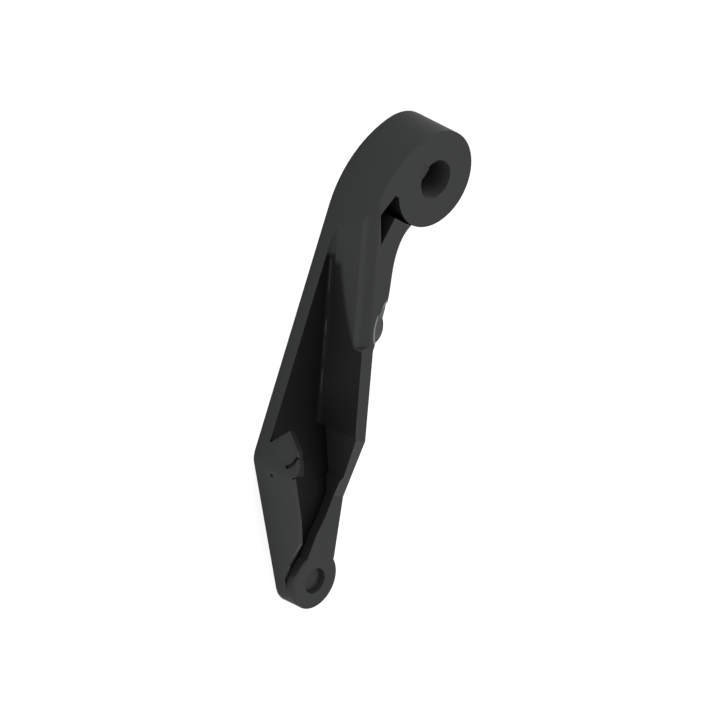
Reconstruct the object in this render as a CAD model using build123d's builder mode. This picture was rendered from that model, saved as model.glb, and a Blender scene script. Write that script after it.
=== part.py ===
"""Cranked arm of a swing gate opener.

The arm lies on its flat back.  The origin is on the axis of the keyed hub, in
the back plane; +Z runs up along the output shaft and +X down the arm towards
the eye.  The outer side of the gooseneck faces -Y.  Sizes are in millimetres.
"""

import os
from math import asin, atan2, cos, radians, sin, tan

from build123d import *

# ---------------------------------------------------------------- hub
hub_radius = 25.0           # outside of the round hub
hub_height = 28.0           # full thickness of the casting
shaft_radius = 10.0         # bore for the 20 mm output shaft
key_width = 6.0             # parallel key, 6 x 6 section
key_height = 6.0
key_length = 25.0
keyway_depth = 2.8          # depth of the keyway in the hub wall
key_angle = -111.4          # direction of the key, seen from above
key_edge = 0.3

# ---------------------------------------------------------------- arm, seen from above
plate_thickness = 7.4       # back plate
outer_line_y = -38.3        # straight outer side below the gooseneck
bend_x = 24.0               # where the outer bend meets the straight side
elbow_x = 154.8             # corner of the outer side
elbow_round = 12.0
wall_angle = 17.9           # direction of the tall wall's inner face
wall_foot_x = 57.8          # one point on the foot of that face
wall_foot_y = -30.8
wall_draft = 12.0           # how far that face leans back
wall_edge_round = 7.5       # soft upper edge of that face, beside the neck
edge_lift = 0.05            # lifts the ends of that curve just clear of the faces
rim_start_x = 90.0          # the edge is sharp beyond here
neck_root = (22.5, -6.0)    # flank of the neck, inside the hub
neck_curve = ((30.3, -11.3), (37.0, -12.3), (46.0, -11.6), (57.4, -9.1))
flank_start = (89.0, -7.9)  # flank corner where the rim begins
flank_bend = (135.4, 6.5)   # flank corner where the rim starts to drop
flank_low = (169.5, 22.0)   # flank corner where the rim is low
flank_end = (201.0, 28.8)   # end of the flank, on the eye
flank_round = 8.0
rim_inner = (133.9, -1.3)   # inner edge of the rim at its drop
rim_thin = (158.1, 11.4)    # where the dropping rim is thinnest
rim_step = (160.3, 10.8)
shelf_inner = (169.5, 14.6)  # inner edge of the low shelf beside the eye
shelf_middle = (180.2, 13.4)
shelf_narrow = (190.2, 10.8)
shelf_end = (203.0, 9.6)     # inside the eye's circle
foot_round = 2.5            # fillet along the foot of the tall wall
edge_round = 0.8            # front edges of the hub and the eye

# ---------------------------------------------------------------- eye
eye_x = 213.1
eye_y = 20.1
eye_radius = 14.75
eye_height = 12.3
left_wall_thickness = 2.6   # thin wall from the elbow pad to the eye
left_wall_end_thickness = 1.4
left_wall_start = 26.2      # height of the wall where it meets the elbow pad
left_wall_high = (178.0, 25.5)  # top of the wall beside the eye, x and height
left_wall_mid = (190.7, 23.3)
left_wall_low = (206.0, 11.8)
left_wall_end_x = 215.0     # where the wall runs out into the back plate

# ---------------------------------------------------------------- round bosses
boss_radius = 10.2
boss_axis_height = 17.5
stop_boss_x = 79.3
flank_y = -7.4              # flat part of the flank, behind the stop boss
stop_boss_depth = 6.0       # length of the stop boss inside the neck
stop_boss_rise = 2.4        # how far it stands off the flank
spot_radius = 19.0          # shallow spot face milled into the edge over the stop boss
spot_centre = (74.0, 7.6)
spot_depth = 0.8
elbow_pad_x = 144.8         # middle of the pad at the elbow
elbow_pad_reach = 9.9       # from its middle to its corners
elbow_pad_shoulder = (142.5, 26.2)  # where its upper corner bends, x and height
elbow_pad_top_x = 149.0     # its full height starts here
elbow_pad_end_x = 154.6
elbow_pad_thickness = 3.2   # of the half away from the eye
elbow_pad_root = 7.2        # thickness at its end
relief_width = 0.8          # small cut between the pad and the thin wall
relief_length = 6.0
relief_depth = 3.4
relief_angle = -68.0
relief_centre = (155.6, -33.9)
drain_hole_radius = 1.0
drain_hole_x = 160.3
drain_hole_height = 11.4
drain_hole_depth = 2.0

# ---------------------------------------------------------------- notch beside the hub
notch_floor = 7.4
notch_tip = (9.0, -25.8)
notch_outer = (19.4, -32.5)
notch_low = (34.8, -25.5)
notch_inner = (20.5, -21.4)
notch_mouth = (24.4, -8.0)
notch_root = (16.0, -8.0)   # corner of the notch, inside the hub

# ---------------------------------------------------------------- eye fittings
pin_radius = 6.0
pin_recess = 2.4            # how far the pin's end lies below the eye's face
pin_flange_radius = 8.5
pin_flange_thickness = 2.0
pin_thread_radius = 2.5     # tapping hole for M6
pin_thread_depth = 5.5
pin_edge = 0.4
eye_window_radius = 6.6     # opening in the eye's face, above the pin
bush_radius = 8.0
running_gap = 0.05
flange_gap = 0.3            # around the flange of the pin
seat_radius = 9.3           # counterbore in the back of the eye
washer_radius = 9.2
washer_hole_radius = 5.0
washer_thickness = 1.0
ring_radius = 10.0
ring_hole_radius = 7.5
ring_thickness = 1.0
ring_inset = 0.6            # ring groove above the back plane
ring_gap_width = 6.0
groove_radius = 10.0

# ---------------------------------------------------------------- screws and plug
hub_screw_radius = 3.0      # M6 cup point set screw
hub_screw_length = 12.0
hub_screw_height = 14.0
hub_screw_angle = 158.6     # direction of the set screw, a quarter turn from the key
hub_screw_socket = 1.5      # half of the socket's width across flats
hub_screw_socket_depth = 3.0
hub_screw_sink = 1.0        # how far it lies below the hub's surface
screw_edge = 0.4
stop_screw_radius = 4.0     # M8 button head screw
stop_screw_length = 11.0
stop_head_radius = 7.0
stop_head_height = 3.6
stop_head_round = 2.4
stop_head_socket = 2.5      # half of the socket's width across flats
stop_socket_depth = 2.2
screw_tip_room = 1.0        # blind hole beyond the screw's tip
stop_washer_radius = 8.4
stop_washer_thickness = 1.6
washer_clearance = 0.2
washer_edge = 0.3
plug_radius = 5.4           # snap-in plug in the elbow pad
plug_axis_height = 18.6
plug_thickness = 2.0
plug_stem_radius = 3.8
plug_stem_length = 1.6
lever_radius = 7.9          # curved slot beside the plug, for a lever
lever_width = 1.9
lever_depth = 1.6
lever_angle = 92.0          # where the slot lies round the plug
lever_sweep = 68.0


# ---------------------------------------------------------------- worked out
line_offset = abs(outer_line_y)
bend_radius = (bend_x**2 + line_offset**2 - hub_radius**2) / (2 * (line_offset - hub_radius))
bend_centre = Vector(bend_x, outer_line_y + bend_radius)
bend_start = bend_centre * (-hub_radius / bend_centre.length)
bend_end = Vector(bend_x, outer_line_y)
elbow = Vector(elbow_x, outer_line_y)
eye_centre = Vector(eye_x, eye_y)
to_eye = eye_centre - elbow
flank_turn = asin(eye_radius / to_eye.length)
lower_angle = atan2(to_eye.Y, to_eye.X) - flank_turn
lower_direction = Vector(cos(lower_angle), sin(lower_angle))
lower_length = to_eye.length * cos(flank_turn)
eye_tangent = elbow + lower_direction * lower_length
wall_direction = Vector(cos(radians(wall_angle)), sin(radians(wall_angle)))
wall_normal = Vector(-sin(radians(wall_angle)), cos(radians(wall_angle)))
far = 4 * hub_height        # well outside the casting, for cutting shapes
pin_top = eye_height - pin_recess
ring_base = ring_inset
washer_base = ring_base + ring_thickness
flange_base = washer_base + washer_thickness
bush_base = flange_base + pin_flange_thickness
stop_point = Vector(stop_boss_x, flank_y, boss_axis_height)
stop_out = Vector(0, 1, 0)
stop_seat = stop_point + stop_out * stop_boss_rise
screw_direction = Vector(cos(radians(hub_screw_angle)), sin(radians(hub_screw_angle)), 0)
screw_outer = screw_direction * hub_radius + Vector(0, 0, hub_screw_height)
lower_out = lower_direction.cross(Vector(0, 0, 1))
drain_point = elbow + lower_direction * ((drain_hole_x - elbow_x) / lower_direction.X)


def across(origin, direction, up=Vector(0, 0, 1)):
    """A plane whose normal is direction and whose local Y is up."""
    return Plane(origin=origin, x_dir=up.cross(direction), z_dir=direction)


plug_face = across(Vector(elbow_pad_x, outer_line_y, plug_axis_height), Vector(0, 1, 0))
drain_face = across(drain_point + Vector(0, 0, drain_hole_height), -lower_out)


# ---------------------------------------------------------------- outline seen from above
with BuildSketch() as plan:
    with BuildLine():
        RadiusArc(bend_start, bend_end, -bend_radius)
        Polyline(bend_end, elbow, eye_tangent, eye_centre, flank_end, flank_low, flank_bend,
                 flank_start, (stop_boss_x, flank_y))
        Spline((stop_boss_x, flank_y), (stop_boss_x - boss_radius, flank_y),
               *reversed(neck_curve), neck_root)
        Polyline(neck_root, (0, 0), bend_start)
    make_face()
    Circle(hub_radius)
    with Locations(eye_centre):
        Circle(eye_radius)
    fillet(plan.vertices().sort_by_distance(elbow)[0], elbow_round)
    for corner in (flank_bend, flank_low):
        fillet(plan.vertices().sort_by_distance(corner)[0], flank_round)


# ---------------------------------------------------------------- left wall and elbow pad
with BuildPart() as outer_wall:
    add(plan.sketch)
    extrude(amount=hub_height)
    pad_left = elbow_pad_x - elbow_pad_reach
    pad_swell_x = elbow_pad_end_x - elbow_pad_reach
    pad_inner_y = outer_line_y + elbow_pad_thickness
    wall_inner = elbow - lower_out * left_wall_thickness
    wall_end = eye_tangent - lower_out * left_wall_end_thickness
    pad_share = (elbow_pad_end_x - wall_inner.X) / (wall_end - wall_inner).X
    with BuildSketch():
        with BuildLine():
            Polyline((0, pad_inner_y), (pad_swell_x, pad_inner_y),
                     (elbow_pad_end_x, outer_line_y + elbow_pad_root),
                     wall_inner + (wall_end - wall_inner) * pad_share, wall_end, eye_tangent,
                     eye_tangent + lower_out * far, (0, -far), close=True)
        make_face()
    extrude(amount=hub_height, mode=Mode.INTERSECT)
    with BuildSketch(Plane.XZ):
        with BuildLine():
            Polyline((left_wall_end_x, 0), (elbow_pad_x, 0),
                     (elbow_pad_x, boss_axis_height - elbow_pad_reach),
                     (pad_left, boss_axis_height), elbow_pad_shoulder,
                     (elbow_pad_top_x, hub_height), (elbow_pad_end_x, hub_height),
                     (elbow_pad_end_x, left_wall_start), left_wall_high, left_wall_mid,
                     left_wall_low, (left_wall_end_x, plate_thickness), close=True)
        make_face()
    extrude(amount=far, both=True, mode=Mode.INTERSECT)
    with BuildSketch(Plane.XY.offset(hub_height - relief_depth)):
        with Locations(Location((*relief_centre, 0), (0, 0, relief_angle))):
            Rectangle(relief_length, relief_width)
    extrude(amount=far, mode=Mode.SUBTRACT)


# ---------------------------------------------------------------- arm casting
with BuildPart() as arm_casting:
    add(plan.sketch)
    extrude(amount=hub_height)

    # the pocket, open to the outer side, with a leaning inner face
    foot = Vector(wall_foot_x, wall_foot_y)
    with BuildSketch(Plane(origin=foot, x_dir=wall_normal, z_dir=wall_direction)) as pocket:
        with BuildLine():
            lean = (far - plate_thickness) * tan(radians(wall_draft))
            Polyline((0, plate_thickness), (lean, far), (-far, far), (-far, plate_thickness),
                     close=True)
        make_face()
    extrude(amount=(Vector(*rim_inner) - foot).dot(wall_direction), mode=Mode.SUBTRACT)
    extrude(pocket.sketch, amount=-2 * far, mode=Mode.SUBTRACT)
    with BuildSketch(Plane.XY.offset(plate_thickness)):
        with BuildLine():
            Polyline(rim_inner, rim_thin, rim_step, shelf_inner, shelf_middle, shelf_narrow,
                     shelf_end, eye_centre,
                     eye_centre + Vector(eye_radius * 2, 0), (eye_x, outer_line_y),
                     (rim_inner[0], outer_line_y), close=True)
        make_face()
    extrude(amount=far, mode=Mode.SUBTRACT)

    # the rim drops to the low shelf beside the eye
    with BuildSketch(Plane.XZ):
        with BuildLine():
            Polyline((flank_bend[0], hub_height), (flank_low[0], eye_height),
                     (eye_x + far, eye_height), (eye_x + far, far), (flank_bend[0], far),
                     close=True)
        make_face()
    extrude(amount=2 * far, both=True, mode=Mode.SUBTRACT)

    # hub and eye
    with BuildSketch():
        Circle(hub_radius)
    extrude(amount=hub_height)
    with BuildSketch():
        with Locations(eye_centre):
            Circle(eye_radius)
    extrude(amount=eye_height)

    # spot face, and the stop boss on the flank of the neck
    with BuildSketch(Plane.XY.offset(hub_height - spot_depth)):
        with Locations(spot_centre):
            Circle(spot_radius)
    extrude(amount=far, mode=Mode.SUBTRACT)
    with BuildSketch(across(stop_point - stop_out * stop_boss_depth, stop_out)):
        Circle(boss_radius)
    extrude(amount=stop_boss_depth + stop_boss_rise)

    # soft foot of the tall wall
    wall_foot = (
        arm_casting.edges()
        .filter_by(GeomType.LINE)
        .filter_by_position(Axis.Z, plate_thickness, plate_thickness)
        .sort_by(lambda edge: abs((edge.center() - foot).cross(wall_direction).Z))
    )[0]
    fillet(wall_foot, foot_round)

    # soft front edges of the hub and the eye
    for height, radius in ((hub_height, hub_radius), (eye_height, eye_radius)):
        rings = (
            arm_casting.edges()
            .filter_by(GeomType.CIRCLE)
            .filter_by_position(Axis.Z, height, height)
            .filter_by(lambda edge: abs(edge.radius - radius) < 0.01)
        )
        fillet(rings, edge_round)
    add(outer_wall.part)

    # notch beside the hub
    with BuildSketch(Plane.XY.offset(notch_floor)):
        with BuildLine():
            Polyline(notch_root, notch_tip, notch_outer, notch_low, notch_inner, notch_mouth,
                     close=True)
        make_face()
        Circle(hub_radius, mode=Mode.SUBTRACT)
    extrude(amount=far, mode=Mode.SUBTRACT)

    # soft upper edge of the leaning face, as far as the rim
    rise = hub_height - plate_thickness
    edge_foot = foot + wall_direction * ((rim_start_x - foot.X) / wall_direction.X)
    wall_edge = edge_foot + wall_normal * (rise * tan(radians(wall_draft)))
    reach = wall_edge_round * tan(radians(90 - wall_draft) / 2)
    down_wall = Vector(-sin(radians(wall_draft)), -cos(radians(wall_draft)))
    arc_top = Vector(reach, edge_lift)
    arc_low = down_wall * reach + Vector(-edge_lift, 0)
    arc_middle = Vector(reach, -wall_edge_round) * (1 - wall_edge_round / (
        Vector(reach, wall_edge_round).length))
    with BuildSketch(Plane(origin=wall_edge + Vector(0, 0, hub_height), x_dir=wall_normal,
                           z_dir=wall_direction)):
        with BuildLine():
            ThreePointArc(arc_top, arc_middle, arc_low)
            Polyline(arc_low, arc_low - Vector(reach, 0), (-3 * reach, reach), (reach, reach),
                     arc_top)
        make_face()
    extrude(amount=-rim_start_x, mode=Mode.SUBTRACT)

    # bores of the hub and the eye
    with BuildSketch():
        Circle(shaft_radius)
        with Locations(Location((0, 0, 0), (0, 0, key_angle))):
            with Locations(((shaft_radius + keyway_depth) / 2, 0)):
                Rectangle(shaft_radius + keyway_depth, key_width)
    extrude(amount=hub_height, mode=Mode.SUBTRACT)
    for radius, bottom, top in (
        (seat_radius, 0, flange_base),
        (groove_radius, ring_base, ring_base + ring_thickness),
        (pin_flange_radius + flange_gap, flange_base, bush_base),
        (bush_radius, bush_base, pin_top),
        (eye_window_radius, pin_top, eye_height),
    ):
        with BuildSketch(Plane.XY.offset(bottom)):
            with Locations(eye_centre):
                Circle(radius)
        extrude(amount=top - bottom, mode=Mode.SUBTRACT)

    # threaded holes for the set screw and the stop screw, and the plug's seat
    with BuildSketch(across(screw_outer, -screw_direction)):
        Circle(hub_screw_radius)
    extrude(amount=hub_radius, mode=Mode.SUBTRACT)
    with BuildSketch(across(stop_seat, -stop_out)):
        Circle(stop_screw_radius)
    extrude(amount=stop_screw_length + screw_tip_room, mode=Mode.SUBTRACT)
    with BuildSketch(plug_face):
        Circle(plug_radius)
    extrude(amount=plug_thickness, mode=Mode.SUBTRACT)
    with BuildSketch(plug_face):
        Circle(plug_stem_radius)
    extrude(amount=elbow_pad_root, mode=Mode.SUBTRACT)
    with BuildSketch(plug_face):
        with BuildLine():
            CenterArc((0, 0), lever_radius, lever_angle, lever_sweep)
        trace(line_width=lever_width)
    extrude(amount=lever_depth, mode=Mode.SUBTRACT)
    with BuildSketch(drain_face):
        Circle(drain_hole_radius)
    extrude(amount=drain_hole_depth, mode=Mode.SUBTRACT)


# ---------------------------------------------------------------- key and set screw
with BuildPart() as shaft_key:
    with BuildSketch(Plane.XY.offset((hub_height - key_length) / 2)):
        with Locations(Location((0, 0, 0), (0, 0, key_angle))):
            with Locations((shaft_radius + keyway_depth - key_height / 2, 0)):
                Rectangle(key_height, key_width)
    extrude(amount=key_length)
    chamfer(shaft_key.edges().filter_by(Axis.Z), key_edge)

with BuildPart() as hub_set_screw:
    with BuildSketch(across(screw_outer - screw_direction * hub_screw_sink, -screw_direction)):
        Circle(hub_screw_radius)
    extrude(amount=hub_screw_length)
    chamfer(hub_set_screw.edges(), screw_edge)
    with BuildSketch(across(screw_outer - screw_direction * hub_screw_sink, -screw_direction)):
        RegularPolygon(hub_screw_socket, 6, major_radius=False)
    extrude(amount=hub_screw_socket_depth, mode=Mode.SUBTRACT)


# ---------------------------------------------------------------- stop screw
with BuildPart() as stop_washer:
    with BuildSketch(across(stop_seat, stop_out)):
        Circle(stop_washer_radius)
        Circle(stop_screw_radius + washer_clearance, mode=Mode.SUBTRACT)
    extrude(amount=stop_washer_thickness)
    chamfer(stop_washer.edges().filter_by(GeomType.CIRCLE).sort_by(SortBy.RADIUS)[-2:], washer_edge)

with BuildPart() as stop_screw:
    head_base = stop_seat + stop_out * stop_washer_thickness
    with BuildSketch(across(head_base, stop_out)):
        Circle(stop_head_radius)
    extrude(amount=stop_head_height)
    top_edge = stop_screw.edges().sort_by(lambda edge: edge.center().dot(stop_out))[-1]
    fillet(top_edge, stop_head_round)
    with BuildSketch(across(head_base, -stop_out)):
        Circle(stop_screw_radius)
    extrude(amount=stop_screw_length)
    with BuildSketch(across(head_base + stop_out * stop_head_height, -stop_out)):
        RegularPolygon(stop_head_socket, 6, major_radius=False)
    extrude(amount=stop_socket_depth, mode=Mode.SUBTRACT)


# ---------------------------------------------------------------- elbow plug
with BuildPart() as elbow_plug:
    with BuildSketch(plug_face):
        Circle(plug_radius)
    extrude(amount=plug_thickness)
    with BuildSketch(plug_face.offset(plug_thickness)):
        Circle(plug_stem_radius)
    extrude(amount=plug_stem_length)


# ---------------------------------------------------------------- eye fittings
with BuildPart() as eye_bush:
    with BuildSketch(Plane.XY.offset(bush_base)):
        with Locations(eye_centre):
            Circle(bush_radius)
            Circle(pin_radius + running_gap, mode=Mode.SUBTRACT)
    extrude(amount=pin_top - bush_base)

with BuildPart() as link_pin:
    with BuildSketch(Plane.XY.offset(flange_base)):
        with Locations(eye_centre):
            Circle(pin_flange_radius)
    extrude(amount=pin_flange_thickness)
    with BuildSketch(Plane.XY.offset(bush_base)):
        with Locations(eye_centre):
            Circle(pin_radius)
    extrude(amount=pin_top - bush_base)
    chamfer(link_pin.edges().sort_by(Axis.Z)[-1], pin_edge)
    with BuildSketch(Plane.XY.offset(flange_base)):
        with Locations(eye_centre):
            Circle(pin_thread_radius)
    extrude(amount=pin_thread_depth, mode=Mode.SUBTRACT)

with BuildPart() as thrust_washer:
    with BuildSketch(Plane.XY.offset(washer_base)):
        with Locations(eye_centre):
            Circle(washer_radius)
            Circle(washer_hole_radius, mode=Mode.SUBTRACT)
    extrude(amount=washer_thickness)

with BuildPart() as retaining_ring:
    with BuildSketch(Plane.XY.offset(ring_base)):
        with Locations(eye_centre):
            Circle(ring_radius)
            Circle(ring_hole_radius, mode=Mode.SUBTRACT)
            with Locations((ring_radius, 0)):
                Rectangle(ring_radius, ring_gap_width, mode=Mode.SUBTRACT)
    extrude(amount=ring_thickness)


# ---------------------------------------------------------------- label and write
pieces = {
    "arm_casting": arm_casting,
    "shaft_key": shaft_key,
    "hub_set_screw": hub_set_screw,
    "stop_screw": stop_screw,
    "stop_washer": stop_washer,
    "elbow_plug": elbow_plug,
    "eye_bush": eye_bush,
    "link_pin": link_pin,
    "thrust_washer": thrust_washer,
    "retaining_ring": retaining_ring,
}
os.makedirs("parts", exist_ok=True)
for name, piece in pieces.items():
    piece.part.label = name
    export_step(piece.part, f"parts/{name}.step")
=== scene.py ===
# %% [markdown]
# # Cranked arm of a swing gate opener
# The arm is one black painted casting with nine small fittings.  It hangs from
# the output shaft of the opener, and the next link of the gate arm is held by
# the pin in its eye.  The machined shapes come ready made and stay as they are,
# so this lesson is about finishes: paint, bare metal, zinc, steel and nylon.

# %% Load the fixed frame
from math import cos, radians, sin

import bpy
from mathutils import Matrix, Vector

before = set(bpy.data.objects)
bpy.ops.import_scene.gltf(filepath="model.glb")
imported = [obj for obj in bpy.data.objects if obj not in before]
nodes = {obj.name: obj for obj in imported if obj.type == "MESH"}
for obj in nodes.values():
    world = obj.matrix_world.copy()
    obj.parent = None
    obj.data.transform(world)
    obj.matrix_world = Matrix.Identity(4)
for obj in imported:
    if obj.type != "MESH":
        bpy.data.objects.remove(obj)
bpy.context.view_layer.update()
scene = bpy.context.scene
MM = 0.001
bpy.ops.object.select_all(action="DESELECT")
print("nodes:", sorted(nodes))

# %% [markdown]
# ## Camera
# The arm is looked at as it hangs: the shaft axis is level, and the arm swings
# a little off the vertical.  A perspective camera would make the hub look
# larger than the eye, so a parallel one is used, as in a catalogue.

# %% Camera
hang = radians(23.55)
azimuth = radians(45)
elevation = radians(30)
aim = Vector((98.6, 1.7, 14.1)) * MM
picture_width = 348.2 * MM
camera_distance = 1.2
shaft_axis = Vector((0, 0, 1))
hanging_up = Vector((-cos(hang), -sin(hang), 0))
hanging_side = Vector((sin(hang), -cos(hang), 0))
towards_camera = (
    cos(elevation) * (cos(azimuth) * shaft_axis + sin(azimuth) * hanging_side)
    + sin(elevation) * hanging_up
)
camera_right = hanging_up.cross(towards_camera).normalized()
camera_up = towards_camera.cross(camera_right)
turn = Matrix((camera_right, camera_up, towards_camera)).transposed().to_4x4()
camera_data = bpy.data.cameras.new("catalogue_camera")
camera_data.type = "ORTHO"
camera_data.ortho_scale = picture_width
camera_data.clip_end = 20
camera = bpy.data.objects.new("catalogue_camera", camera_data)
camera.matrix_world = Matrix.Translation(aim + towards_camera * camera_distance) @ turn
scene.collection.objects.link(camera)
scene.camera = camera
print("camera looks along", [round(-part, 3) for part in towards_camera])

# %% [markdown]
# ## White surround
# In a studio the arm would hang in a white tent.  A world of one colour does the
# same without any geometry.  It is plain white for the camera and for
# reflections, so the satin paint has something to mirror, and weaker for the
# light that falls on the arm, so the lamps can still give the faces a shape.

# %% White surround
white = (1, 1, 1, 1)
tent_strength = 0.54
scene.view_settings.view_transform = "Standard"
world = bpy.data.worlds.new("white_tent")
scene.world = world
world.use_nodes = True
tent = world.node_tree
tent.nodes.clear()
tent_out = tent.nodes.new("ShaderNodeOutputWorld")
tent_mix = tent.nodes.new("ShaderNodeMixShader")
tent_light = tent.nodes.new("ShaderNodeBackground")
tent_white = tent.nodes.new("ShaderNodeBackground")
ray = tent.nodes.new("ShaderNodeLightPath")
seen = tent.nodes.new("ShaderNodeMath")
seen.operation = "MAXIMUM"
tent_light.inputs["Color"].default_value = white
tent_light.inputs["Strength"].default_value = tent_strength
tent_white.inputs["Color"].default_value = white
tent_white.inputs["Strength"].default_value = 1.0
tent.links.new(ray.outputs["Is Camera Ray"], seen.inputs[0])
tent.links.new(ray.outputs["Is Glossy Ray"], seen.inputs[1])
tent.links.new(seen.outputs["Value"], tent_mix.inputs["Fac"])
tent.links.new(tent_light.outputs["Background"], tent_mix.inputs[1])
tent.links.new(tent_white.outputs["Background"], tent_mix.inputs[2])
tent.links.new(tent_mix.outputs["Shader"], tent_out.inputs["Surface"])
print("tent light on the arm:", tent_strength)

# %% [markdown]
# ## Two soft lamps
# Small lamps give hard shadows and bright spots.  Square area lamps nearly a
# metre wide give the even, soft light of a studio.  One stands above the hub,
# the other in front of the arm.


# %% Two soft lamps
def soft_lamp(name, place, power, size):
    """A square lamp that faces the middle of the arm."""
    data = bpy.data.lights.new(name, "AREA")
    data.energy = power
    data.size = size
    lamp = bpy.data.objects.new(name, data)
    lamp.location = place
    lamp.rotation_mode = "QUATERNION"
    lamp.rotation_quaternion = (aim - place).to_track_quat("-Z", "Y")
    scene.collection.objects.link(lamp)
    print(name, [round(part, 2) for part in place])


above_hub = aim + hanging_up * 1.1 + shaft_axis * 0.6 - hanging_side * 0.2
soft_lamp("top_lamp", above_hub, power=4.8, size=0.7)
in_front = aim + shaft_axis * 0.35 + hanging_side * 1.4
soft_lamp("front_lamp", in_front, power=6.0, size=1.0)

# %% [markdown]
# ## Black paint and its grain
# The casting is sprayed satin black, which is a very dark grey and not pure
# black.  Every finish starts from the Principled shader.  What is the same all
# over is set on the shader itself.  What varies is built from a noise texture on
# Object coordinates: it makes the gloss uneven and, through a Bump node, gives
# the surface its grain.  Object coordinates are in metres here, so a scale of
# 1000 gives a pattern about a millimetre wide.


# %% Black paint and its grain
def finish(name, color, roughness, specular=0.5, metallic=0.0, grain=900, relief=0.01):
    """A material with a fine grain; relief is the grain's height in millimetres."""
    material = bpy.data.materials.new(name)
    material.use_nodes = True
    tree = material.node_tree
    shader = tree.nodes["Principled BSDF"]
    shader.inputs["Base Color"].default_value = (*color, 1)
    shader.inputs["Metallic"].default_value = metallic
    shader.inputs["Specular IOR Level"].default_value = specular
    place = tree.nodes.new("ShaderNodeTexCoord")
    noise = tree.nodes.new("ShaderNodeTexNoise")
    noise.inputs["Scale"].default_value = grain
    noise.inputs["Detail"].default_value = 3
    tree.links.new(place.outputs["Object"], noise.inputs["Vector"])
    uneven = tree.nodes.new("ShaderNodeMapRange")
    uneven.inputs["To Min"].default_value = roughness * 0.88
    uneven.inputs["To Max"].default_value = roughness * 1.12
    tree.links.new(noise.outputs["Fac"], uneven.inputs["Value"])
    tree.links.new(uneven.outputs["Result"], shader.inputs["Roughness"])
    bump = tree.nodes.new("ShaderNodeBump")
    bump.inputs["Distance"].default_value = relief * MM
    tree.links.new(noise.outputs["Fac"], bump.inputs["Height"])
    tree.links.new(bump.outputs["Normal"], shader.inputs["Normal"])
    return material


def paint_or_painted_light(name, color, roughness=0.42, specular=0.18):
    """A coat of paint, or of painted shade or highlight, with the grain of the casting under
    it.
    """
    return finish(name, color, roughness, specular=specular, grain=700, relief=0.008)


PAINT = (0.0323, 0.0334, 0.0342)
black_paint = paint_or_painted_light("black_paint", PAINT)
print("paint:", PAINT)

# %% [markdown]
# ## Masks
# The colour is not the same everywhere on the casting: besides the paint it holds
# painted shade and painted highlights.  A mask is a number from 0 to 1 worked out
# from the place on the surface, and it mixes two colours.  Vertex colours would
# need a finer mesh, and the mesh is not to be changed, so the masks are made of
# small nodes that read the place in millimetres.  The hub's axis is at 0, x runs
# along the arm to the eye, the straight outer side faces -y, and z is the height
# above the flat back.


# %% Masks
def place_in_mm(tree):
    """Sockets with the x, y and z of the surface, in millimetres."""
    place = tree.nodes.new("ShaderNodeTexCoord")
    scaled = tree.nodes.new("ShaderNodeVectorMath")
    scaled.operation = "SCALE"
    scaled.inputs["Scale"].default_value = 1 / MM
    tree.links.new(place.outputs["Object"], scaled.inputs[0])
    parts = tree.nodes.new("ShaderNodeSeparateXYZ")
    tree.links.new(scaled.outputs["Vector"], parts.inputs["Vector"])
    return parts.outputs["X"], parts.outputs["Y"], parts.outputs["Z"]


def ramp(tree, value, low, high):
    """0 below low and 1 above high, with soft ends; low may be the larger one."""
    node = tree.nodes.new("ShaderNodeMapRange")
    node.interpolation_type = "SMOOTHSTEP"
    node.inputs["From Min"].default_value = min(low, high)
    node.inputs["From Max"].default_value = max(low, high)
    node.inputs["To Min"].default_value = 0 if low < high else 1
    node.inputs["To Max"].default_value = 1 if low < high else 0
    tree.links.new(value, node.inputs["Value"])
    return node.outputs["Result"]


# %% [markdown]
# ## Bare bore
# The bore is machined and not painted.  One side of its wall is darkened with
# painted shade, so its colour is the first one with a mask.


# %% Bare bore
def mixed_color(tree, mask, plain, masked):
    """Colour that goes from plain to masked where the mask is 1."""
    node = tree.nodes.new("ShaderNodeMix")
    node.data_type = "RGBA"
    tree.links.new(mask, node.inputs["Factor"])
    for socket, value in ((node.inputs["A"], plain), (node.inputs["B"], masked)):
        if isinstance(value, tuple):
            socket.default_value = (*value, 1)
        else:
            tree.links.new(value, socket)
    return node.outputs["Result"]


def color_of(tree, color):
    """Let a colour socket set the base colour of the material."""
    tree.links.new(color, tree.nodes["Principled BSDF"].inputs["Base Color"])


BORE = (0.080, 0.082, 0.084)
# The second colour is painted shade on the side of the bore wall towards +y.
BORE_SHADE = (0.036, 0.037, 0.038)
shade_start_y, shade_full_y = -2.0, 10.0
bore_metal_and_shade = finish("bore_metal_and_shade", BORE, 0.4, specular=0.3, grain=1500)
tree = bore_metal_and_shade.node_tree
x, y, z = place_in_mm(tree)
shaded_side = ramp(tree, y, shade_start_y, shade_full_y)
color_of(tree, mixed_color(tree, shaded_side, BORE, BORE_SHADE))
print("bore:", BORE, "to", BORE_SHADE)

# %% [markdown]
# ## Painted shade in the pocket and the notch
# The floors and walls of the deep pocket and of the notch lie in shade, and this
# shade is painted into their colour, which is almost black.  On the neck, before
# the pocket begins, the colour is the full paint again.


# %% Painted shade in the pocket and the notch
# Painted shade of the floors and walls in the pocket; on the neck it gives way to the full
# paint.
POCKET_SHADE = (0.0012, 0.0012, 0.0013)
# Lighter painted shade on upright faces of the lower pocket that look at -y and on the eye's
# strip.
SHADE = (0.0240, 0.0245, 0.0250)
# Painted shade in the notch between hub and neck.
NOTCH = (0.0110, 0.0110, 0.0114)
neck_end_x, pocket_start_x = 45.0, 48.5


def neck_mask(tree, x):
    """1 on the neck and 0 beyond it."""
    return ramp(tree, x, pocket_start_x, neck_end_x)


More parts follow.
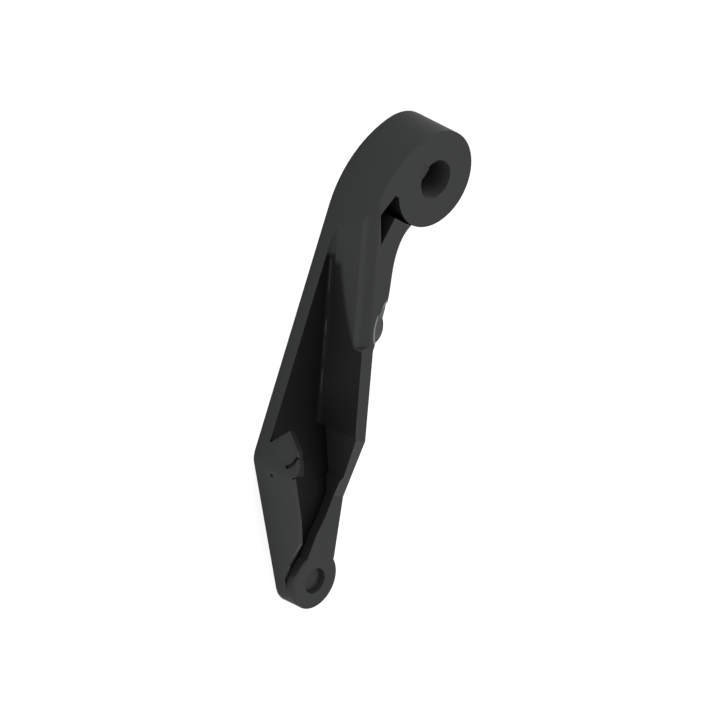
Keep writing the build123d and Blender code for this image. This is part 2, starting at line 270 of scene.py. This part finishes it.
pocket_paint_and_shade = paint_or_painted_light("pocket_paint_and_shade", POCKET_SHADE, roughness=0.6, specular=0.12)
tree = pocket_paint_and_shade.node_tree
x, y, z = place_in_mm(tree)
color_of(tree, mixed_color(tree, neck_mask(tree, x), POCKET_SHADE, PAINT))
side_painted_shade = paint_or_painted_light("side_painted_shade", SHADE, roughness=0.6, specular=0.12)
notch_painted_shade = paint_or_painted_light("notch_painted_shade", NOTCH, roughness=0.6, specular=0.1)
print("dull coats:", [coat.name for coat in (pocket_paint_and_shade, side_painted_shade, notch_painted_shade)])

# %% [markdown]
# ## Elbow pad
# The slopes of the pad at the elbow get painted shade too, but its flat top is
# level with the rim and has full paint.  Two masks are multiplied: one is 1 near
# the full height of the casting, the other is 1 beside the outer side.


# %% Elbow pad
def math_node(tree, operation, first, second=0.0):
    """One Math node; each input is a socket or a number."""
    node = tree.nodes.new("ShaderNodeMath")
    node.operation = operation
    for socket, value in zip(node.inputs, (first, second)):
        if isinstance(value, (int, float)):
            socket.default_value = value
        else:
            tree.links.new(value, socket)
    return node.outputs["Value"]


# Painted shade on the slopes of the pad and of the thin outer wall.
SLOPE_SHADE = (0.0070, 0.0071, 0.0073)
full_height = 28.0
elbow = Vector((154.8, -38.3))
pad_paint_and_shade = paint_or_painted_light("pad_paint_and_shade", SLOPE_SHADE, roughness=0.55, specular=0.15)
tree = pad_paint_and_shade.node_tree
x, y, z = place_in_mm(tree)
at_top = ramp(tree, z, full_height - 0.3, full_height - 0.1)
beside_edge = ramp(tree, y, elbow.y + 2.8, elbow.y + 2.0)
pad_top = math_node(tree, "MULTIPLY", at_top, beside_edge)
color_of(tree, mixed_color(tree, pad_top, SLOPE_SHADE, PAINT))
print("pad:", SLOPE_SHADE, "below", full_height, "mm")

# %% [markdown]
# ## Painted highlight along the foot
# A tall wall stands along the pocket and leans back a little.  Its foot is softly
# rounded, and the round has painted shade with a painted highlight line in a few
# runs.  Each run has a start and an end along the arm, and a strength.


# %% Painted highlight along the foot
# Painted shade in the round of the foot, and a painted highlight line along it.
FOOT = (0.0075, 0.0076, 0.0078)
GLINT_LINE = (0.040, 0.041, 0.042)
wall_turn = radians(17.9)
foot_point = Vector((57.8, -30.8))
wall_across = Vector((-sin(wall_turn), cos(wall_turn)))
glint_runs = ((49.5, 65.8, 0.8), (81.0, 88.5, 1.0), (90.0, 101.0, 0.4), (106.5, 117.5, 0.9))
run_softness = 1.5
line_middle, line_reach, line_softness = -0.8, 0.25, 0.1


def from_foot(tree, x, y):
    """Distance from the foot of the leaning wall, seen from above."""
    across_x = math_node(tree, "MULTIPLY", x, wall_across.x)
    across_y = math_node(tree, "MULTIPLY", y, wall_across.y)
    both = math_node(tree, "ADD", across_x, across_y)
    return math_node(tree, "SUBTRACT", both, foot_point.dot(wall_across))


foot_paint_shade_and_glint = paint_or_painted_light("foot_paint_shade_and_glint", FOOT, roughness=0.7, specular=0.09)
tree = foot_paint_shade_and_glint.node_tree
x, y, z = place_in_mm(tree)
aside = from_foot(tree, x, y)
line_start = line_middle - line_reach
line_end = line_middle + line_reach
rises = ramp(tree, aside, line_start - line_softness, line_start + line_softness)
falls = ramp(tree, aside, line_end + line_softness, line_end - line_softness)
across_line = math_node(tree, "MULTIPLY", rises, falls)
line = 0.0
for start, end, strength in glint_runs:
    begins = ramp(tree, x, start - run_softness, start + run_softness)
    ends = ramp(tree, x, end + run_softness, end - run_softness)
    run = math_node(tree, "MULTIPLY", begins, ends)
    line = math_node(tree, "MAXIMUM", math_node(tree, "MULTIPLY", run, strength), line)
line = math_node(tree, "MULTIPLY", line, across_line)
plain_foot = mixed_color(tree, neck_mask(tree, x), FOOT, PAINT)
color_of(tree, mixed_color(tree, line, plain_foot, GLINT_LINE))
print("worn runs:", len(glint_runs))

# %% [markdown]
# ## Painted shade on the leaning wall
# On the leaning wall the full paint fades into painted shade.  Next to the neck
# the full paint reaches far down the wall, and further along less and less, so
# the edge of the painted shade is a rising curve: a start, a slope and a square
# term.  From the rim on the whole wall has painted shade.  The painted shade is
# darkest near the neck and lighter towards the elbow.

# %% Painted shade on the leaning wall
# Painted shade on the lower part of the leaning wall, darkest near the neck.
DEEP_NEAR = (0.003, 0.003, 0.0032)
DEEP_FAR = (0.0105, 0.0108, 0.0111)
deep_near_x, deep_far_x = 75.0, 135.0
rim_start_x = 90.0
edge_height, edge_slope, edge_square = 11.8, 0.12, 0.003
fade_below, fade_above = -1.4, 2.2
wall_paint_and_shade = paint_or_painted_light("wall_paint_and_shade", PAINT)
tree = wall_paint_and_shade.node_tree
x, y, z = place_in_mm(tree)
along = math_node(tree, "MAXIMUM", math_node(tree, "SUBTRACT", x, neck_end_x), 0.0)
slope = math_node(tree, "MULTIPLY", along, edge_slope)
square = math_node(tree, "MULTIPLY", math_node(tree, "MULTIPLY", along, along), edge_square)
edge = math_node(tree, "ADD", math_node(tree, "ADD", slope, square), edge_height)
above = ramp(tree, math_node(tree, "SUBTRACT", z, edge), fade_below, fade_above)
near_neck = ramp(tree, x, neck_end_x + 7.5, neck_end_x + 3.0)
above = math_node(tree, "MAXIMUM", above, near_neck)
before_rim = ramp(tree, x, rim_start_x + 0.3, rim_start_x - 0.3)
painted = math_node(tree, "MULTIPLY", above, before_rim)
deep = mixed_color(tree, ramp(tree, x, deep_near_x, deep_far_x), DEEP_NEAR, DEEP_FAR)
color_of(tree, mixed_color(tree, painted, deep, PAINT))
print("leaning wall:", PAINT, "down to", DEEP_NEAR)

# %% [markdown]
# ## Cut metal at the spot face
# A cutter faced the edge of the neck over the stop boss, after painting.  The
# cut floor is bare metal, rubbed dark again further along the arm.

# %% Cut metal at the spot face
CUT = (0.10, 0.108, 0.118)
RUBBED = (0.028, 0.029, 0.030)
rub_start_x, rub_full_x = 70.5, 73.0
cut_metal = finish("cut_metal", CUT, 0.38, grain=1800)
tree = cut_metal.node_tree
x, y, z = place_in_mm(tree)
rubbed = ramp(tree, x, rub_start_x, rub_full_x)
color_of(tree, mixed_color(tree, rubbed, CUT, RUBBED))
print("cut floor:", CUT, "to", RUBBED)

# %% [markdown]
# ## Painted highlight round the spot face
# A thin bright ring of painted highlight runs round the edge of the spot face.
# The ring is a mask on the distance from the cutter's axis, so it stays round at
# any zoom.

# %% Painted highlight round the spot face
# The ring colour is a painted highlight round the spot face.
RING = (0.27, 0.28, 0.285)
spot_centre = Vector((74.0, 7.6))
spot_radius = 19.0
ring_width = 1.0
paint_with_ring_highlight = paint_or_painted_light("paint_with_ring_highlight", PAINT)
tree = paint_with_ring_highlight.node_tree
x, y, z = place_in_mm(tree)
off_x = math_node(tree, "SUBTRACT", x, spot_centre.x)
off_y = math_node(tree, "SUBTRACT", y, spot_centre.y)
square_x = math_node(tree, "MULTIPLY", off_x, off_x)
square_y = math_node(tree, "MULTIPLY", off_y, off_y)
away = math_node(tree, "SQRT", math_node(tree, "ADD", square_x, square_y))
inner = ramp(tree, away, spot_radius - 0.1, spot_radius + 0.1)
outer = ramp(tree, away, spot_radius + ring_width + 0.2, spot_radius + ring_width - 0.2)
color_of(tree, mixed_color(tree, math_node(tree, "MULTIPLY", inner, outer), PAINT, RING))
print("ring from radius", spot_radius, "to", spot_radius + ring_width)

# %% [markdown]
# ## Coats of the casting
# A CAD node may have as many material slots as it needs, and each face names
# one of them by its number.  The ten coats, paint and bare metal as well as
# painted shade and painted highlights, are put on the casting in this order.

# %% Coats of the casting
casting = nodes["arm_casting"]
coats = {
    "paint": black_paint,
    "shade_in_pocket": pocket_paint_and_shade,
    "side": side_painted_shade,
    "notch": notch_painted_shade,
    "pad": pad_paint_and_shade,
    "bore": bore_metal_and_shade,
    "foot": foot_paint_shade_and_glint,
    "wall": wall_paint_and_shade,
    "ringed": paint_with_ring_highlight,
    "cut": cut_metal,
}
casting.data.materials.clear()
for material in coats.values():
    casting.data.materials.append(material)
coat_number = {name: number for number, name in enumerate(coats)}
print("slots:", coat_number)

# %% [markdown]
# ## Hub and notch
# The faces are picked by the place of their middle and the way they look, so
# nothing has to be selected by hand.  Each region of the casting has its own
# function.  At the hub the bore is bare, and the notch between hub and neck has
# painted shade on its floor and on its far wall.  Its walls at the hub and at the
# flank of the neck keep the plain paint.


# %% Hub and notch
plate_thickness = 7.4
edge_round = 0.8
bore_reach = 13.2
hub_end_x = 36.0
notch_start_x = 5.0
notch_outer_y, notch_inner_y = -33.0, -7.9
notch_hub_reach, notch_reach, notch_slant = 24.0, 43.5, 62.0
notch_top = full_height - edge_round
flank_corner = Vector((24.6, -20.0))


def upright(facing, lean):
    """Whether a face stands upright, but for a small lean."""
    return abs(facing.z) < lean


def in_notch(place, facing, from_axis):
    """Whether a face is a wall or the floor of the notch."""
    if not (notch_start_x < place.x < hub_end_x and notch_outer_y < place.y < notch_inner_y):
        return False
    if from_axis >= notch_reach or place.x - place.y >= notch_slant:
        return False
    return place.z < plate_thickness + 0.3 or (upright(facing, 0.05) and place.z < notch_top)


def coat_of_notch(place, from_axis):
    """The coat of a face that is in the notch."""
    on_flank = place.x > flank_corner.x and place.y > flank_corner.y
    return "paint" if on_flank or from_axis <= notch_hub_reach else "notch"


print("notch beside the hub, up to", notch_top, "mm high")

# %% [markdown]
# ## Edge of the neck
# The cut floor of the spot face lies a little below the edge of the neck, and
# the paint with the painted highlight ring is on the edge round it.


# %% Edge of the neck
spot_depth = 0.8
cut_floor = full_height - spot_depth
edge_start_x, edge_end_x = 60.0, 92.0
edge_inside = 4.0


def coat_of_edge(place, from_wall):
    """The coat of a face that looks up, near the spot face, or nothing."""
    away = (Vector((place.x, place.y)) - spot_centre).length
    if away < spot_radius + 0.01 and place.z > cut_floor - 0.2:
        return "cut"
    on_edge = edge_start_x < place.x < edge_end_x and place.z > full_height - 0.1
    return "ringed" if on_edge and from_wall > edge_inside else None


print("cut floor at", cut_floor, "mm")

# %% [markdown]
# ## Leaning wall, floor and eye
# From the neck to the elbow the pocket has the leaning wall on one side, its
# soft foot, and a floor.  The eye is painted, but the strip of its side that
# closes the pocket gets painted shade.


# %% Leaning wall, floor and eye
foot_reach = 3.0
past_foot = 0.6
wall_reach = 12.0
eye_centre = Vector((213.1, 20.1))
eye_reach, eye_side_reach = 14.9, 14.5
eye_side_end_x = 212.0


def coat_of_upper_pocket(place, facing, from_wall):
    """The coat of a face between the neck and the elbow."""
    if from_wall < past_foot and place.z < plate_thickness + foot_reach:
        return "foot" if from_wall > -foot_reach else "shade_in_pocket"
    if from_wall < wall_reach and facing.dot(wall_across.to_3d()) < -0.05:
        return "wall"
    return "shade_in_pocket" if from_wall < past_foot and upright(facing, 0.9) else "paint"


def coat_of_eye(place, facing, from_edge):
    """The coat of a face of the eye."""
    away = (Vector((place.x, place.y)) - eye_centre).length
    closes_pocket = from_edge > 2 and place.x < eye_side_end_x and facing.y < 0
    if closes_pocket and upright(facing, 0.3) and away > eye_side_reach:
        return "side"
    return "paint"


print("eye at", tuple(round(part, 1) for part in eye_centre), "mm")

# %% [markdown]
# ## Lower pocket
# From the elbow to the eye the pocket is closed by a chain of walls, and these
# points are the corners of the chain.  The tops of the walls are painted.  The
# slopes of the pad and of the thin outer wall get the painted shade of the pad,
# the upright faces that look at -y the lighter painted shade of the sides, and
# the rest the darkest painted shade of the pocket.


# %% Lower pocket
upper_end_x = 134.2
wall_line = ((133.9, -1.3), (158.1, 11.4), (160.3, 10.8), (169.5, 14.6),
             (180.2, 13.4), (190.2, 10.8), (203.0, 9.6))
pad_reach = 8.0
thin_wall_start_x, thin_wall_end_x = 190.7, 216.0
thin_wall_reach = 2.7


def wall_line_y(x):
    """The y of the pocket's inner wall at x; beyond the last corner it stays level."""
    for start, end in zip(wall_line, wall_line[1:]):
        if start[0] <= x <= end[0]:
            return start[1] + (end[1] - start[1]) * (x - start[0]) / (end[0] - start[0])
    return wall_line[-1][1]


def coat_of_lower_pocket(place, facing, from_edge):
    """The coat of a face between the elbow and the eye."""
    on_pad = place.x < elbow.x - 0.1 and from_edge < pad_reach
    if on_pad and place.z > plate_thickness + 1 and facing.z > 0.3:
        return "pad"
    on_thin_wall = thin_wall_start_x < place.x < thin_wall_end_x and from_edge < thin_wall_reach
    if on_thin_wall and 0.3 < facing.z < 0.95:
        return "pad"
    if facing.z > 0.5 and place.z > plate_thickness + 0.3:
        return "paint"
    if place.y > wall_line_y(place.x) + 0.4:
        return "paint"
    return "side" if upright(facing, 0.1) and facing.y < 0 else "shade_in_pocket"


print("inner wall of the pocket at the elbow: y =", round(wall_line_y(elbow.x), 1), "mm")

# %% [markdown]
# ## Give each face its coat
# One function asks the regions in turn.  The back, the sides of the back plate
# and the outer side of the arm are always painted.

# %% Give each face its coat
lower_turn = radians(34.75)
lower_across = Vector((-sin(lower_turn), cos(lower_turn)))


def coat_of(place, facing):
    """The coat of one face of the casting, from its middle and its direction."""
    flat = Vector((place.x, place.y))
    from_axis = flat.length
    from_wall = (flat - foot_point).dot(wall_across)
    from_edge = min(place.y - elbow.y, (flat - elbow).dot(lower_across))
    if from_axis < bore_reach and upright(facing, 0.5):
        return "bore"
    if place.z < plate_thickness - 0.05:
        return "paint"
    if facing.z > 0.9 and coat_of_edge(place, from_wall):
        return coat_of_edge(place, from_wall)
    if in_notch(place, facing, from_axis):
        return coat_of_notch(place, from_axis)
    if place.x < hub_end_x or from_edge < edge_round:
        return "paint"
    if (flat - eye_centre).length < eye_reach:
        return coat_of_eye(place, facing, from_edge)
    if place.x < upper_end_x:
        return coat_of_upper_pocket(place, facing, from_wall)
    return coat_of_lower_pocket(place, facing, from_edge)


counts = dict.fromkeys(coats, 0)
for polygon in casting.data.polygons:
    coat = coat_of(polygon.center / MM, polygon.normal)
    polygon.material_index = coat_number[coat]
    counts[coat] += 1
print("faces in each coat:", counts)

# %% [markdown]
# ## Fittings
# The key, the screws and the pin are blackened steel, the washers are zinc
# plated, the retaining ring is phosphated spring steel, and the plug and the
# bush are black nylon.  Zinc and spring steel get their colour from reflections,
# so they are metallic.  Blackening is an oxide skin, so it is not.  The grain of
# all four is finer than that of the paint.

# %% Fittings
STEEL = (0.030, 0.030, 0.031)
ZINC = (0.55, 0.55, 0.53)
SPRING = (0.15, 0.15, 0.16)
NYLON = (0.030, 0.031, 0.032)
blackened = finish("blackened_steel", STEEL, 0.36, specular=0.2, grain=2500, relief=0.003)
zinc = finish("zinc_plate", ZINC, 0.3, metallic=1.0, grain=1600, relief=0.003)
spring = finish("spring_steel", SPRING, 0.4, metallic=1.0, grain=2000, relief=0.004)
nylon = finish("black_nylon", NYLON, 0.5, specular=0.25, grain=1300)
fitting_finish = {
    "shaft_key": blackened,
    "hub_set_screw": blackened,
    "stop_screw": blackened,
    "link_pin": blackened,
    "stop_washer": zinc,
    "thrust_washer": zinc,
    "retaining_ring": spring,
    "elbow_plug": nylon,
    "eye_bush": nylon,
}
for name, material in fitting_finish.items():
    nodes[name].data.materials.clear()
    nodes[name].data.materials.append(material)
print("fittings finished:", len(fitting_finish))

# %% [markdown]
# ## Floor
# The arm lies with its flat back on the floor, so the floor is a plain pale
# sheet in the back plane.  The camera alone sees it brighter than it is, so it
# reads as white paper, while the arm gets no extra light.

# %% Floor
bpy.ops.object.select_all(action="DESELECT")
floor_size = 6
floor_glow = 0.6
bpy.ops.mesh.primitive_plane_add(size=floor_size, location=(0, 0, 0))
floor = bpy.context.object
floor.name = "floor"
floor_white = finish("floor_white", (0.9, 0.9, 0.9), 0.9, specular=0.1, grain=30, relief=0.0)
tree = floor_white.node_tree
glow = tree.nodes.new("ShaderNodeEmission")
glow.inputs["Strength"].default_value = floor_glow
both = tree.nodes.new("ShaderNodeAddShader")
choice = tree.nodes.new("ShaderNodeMixShader")
ray = tree.nodes.new("ShaderNodeLightPath")
lit = tree.nodes["Principled BSDF"].outputs["BSDF"]
tree.links.new(lit, both.inputs[0])
tree.links.new(glow.outputs["Emission"], both.inputs[1])
tree.links.new(ray.outputs["Is Camera Ray"], choice.inputs["Fac"])
tree.links.new(lit, choice.inputs[1])
tree.links.new(both.outputs["Shader"], choice.inputs[2])
tree.links.new(choice.outputs["Shader"], tree.nodes["Material Output"].inputs["Surface"])
floor.data.materials.append(floor_white)
print("floor:", floor_size, "m square, glow", floor_glow)
